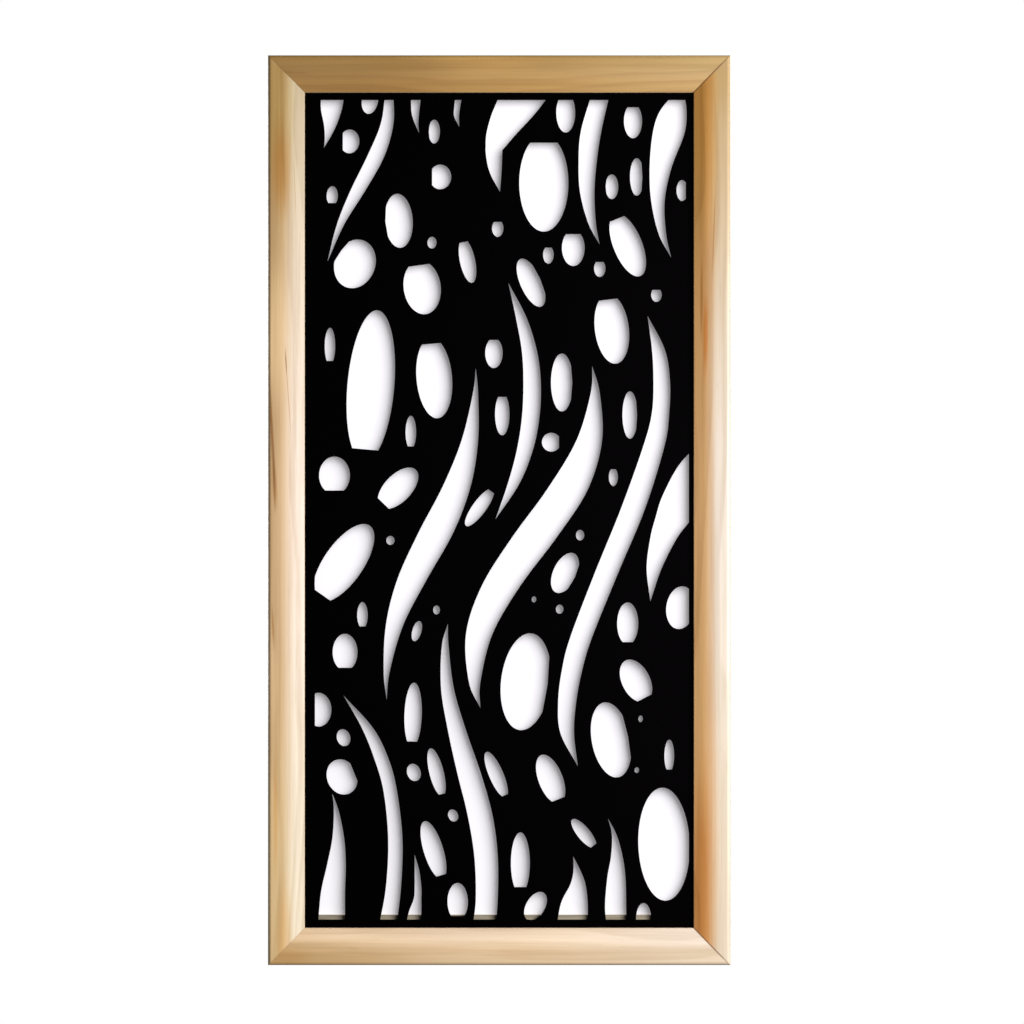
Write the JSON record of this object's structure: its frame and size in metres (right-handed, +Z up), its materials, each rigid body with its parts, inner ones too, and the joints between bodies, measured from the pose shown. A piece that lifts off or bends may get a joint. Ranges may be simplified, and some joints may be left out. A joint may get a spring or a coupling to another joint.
{
  "type": "decorative wood panel",
  "caption": "Tall wall panel: a black board pierced with chopped ovals and tapering wisps, in a mitred pale pine frame with keyhole hangers.",
  "frame": {"origin": "middle of the frame's bottom edge, half-way through its depth", "axes": "+Z up, +X to the right as seen from the front, +Y to the wall; the front faces -Y"},
  "size_m": [0.61, 0.028, 1.2],
  "materials": {
    "pine": "clear satin lacquer on pale pine",
    "black_board": "black satin paint",
    "strip_wood": "raw softwood",
    "bright_steel": "bright drawn steel",
    "zinc_plate": "zinc-plated steel"
  },
  "bodies": {
    "root": {"top_rail": "pine", "bottom_rail": "pine", "left_stile": "pine", "right_stile": "pine", "cut_panel": "black_board", "bead_top": "strip_wood", "bead_bottom": "strip_wood", "bead_left": "strip_wood", "bead_right": "strip_wood", "pins_top": "bright_steel", "pins_bottom": "bright_steel", "pins_left": "bright_steel", "pins_right": "bright_steel", "v_nails_top_left": "bright_steel", "v_nails_top_right": "bright_steel", "v_nails_bottom_left": "bright_steel", "v_nails_bottom_right": "bright_steel", "hanger_left": "zinc_plate", "hanger_right": "zinc_plate", "hanger_screws_left": "zinc_plate", "hanger_screws_right": "zinc_plate"}
  },
  "joints": []
}
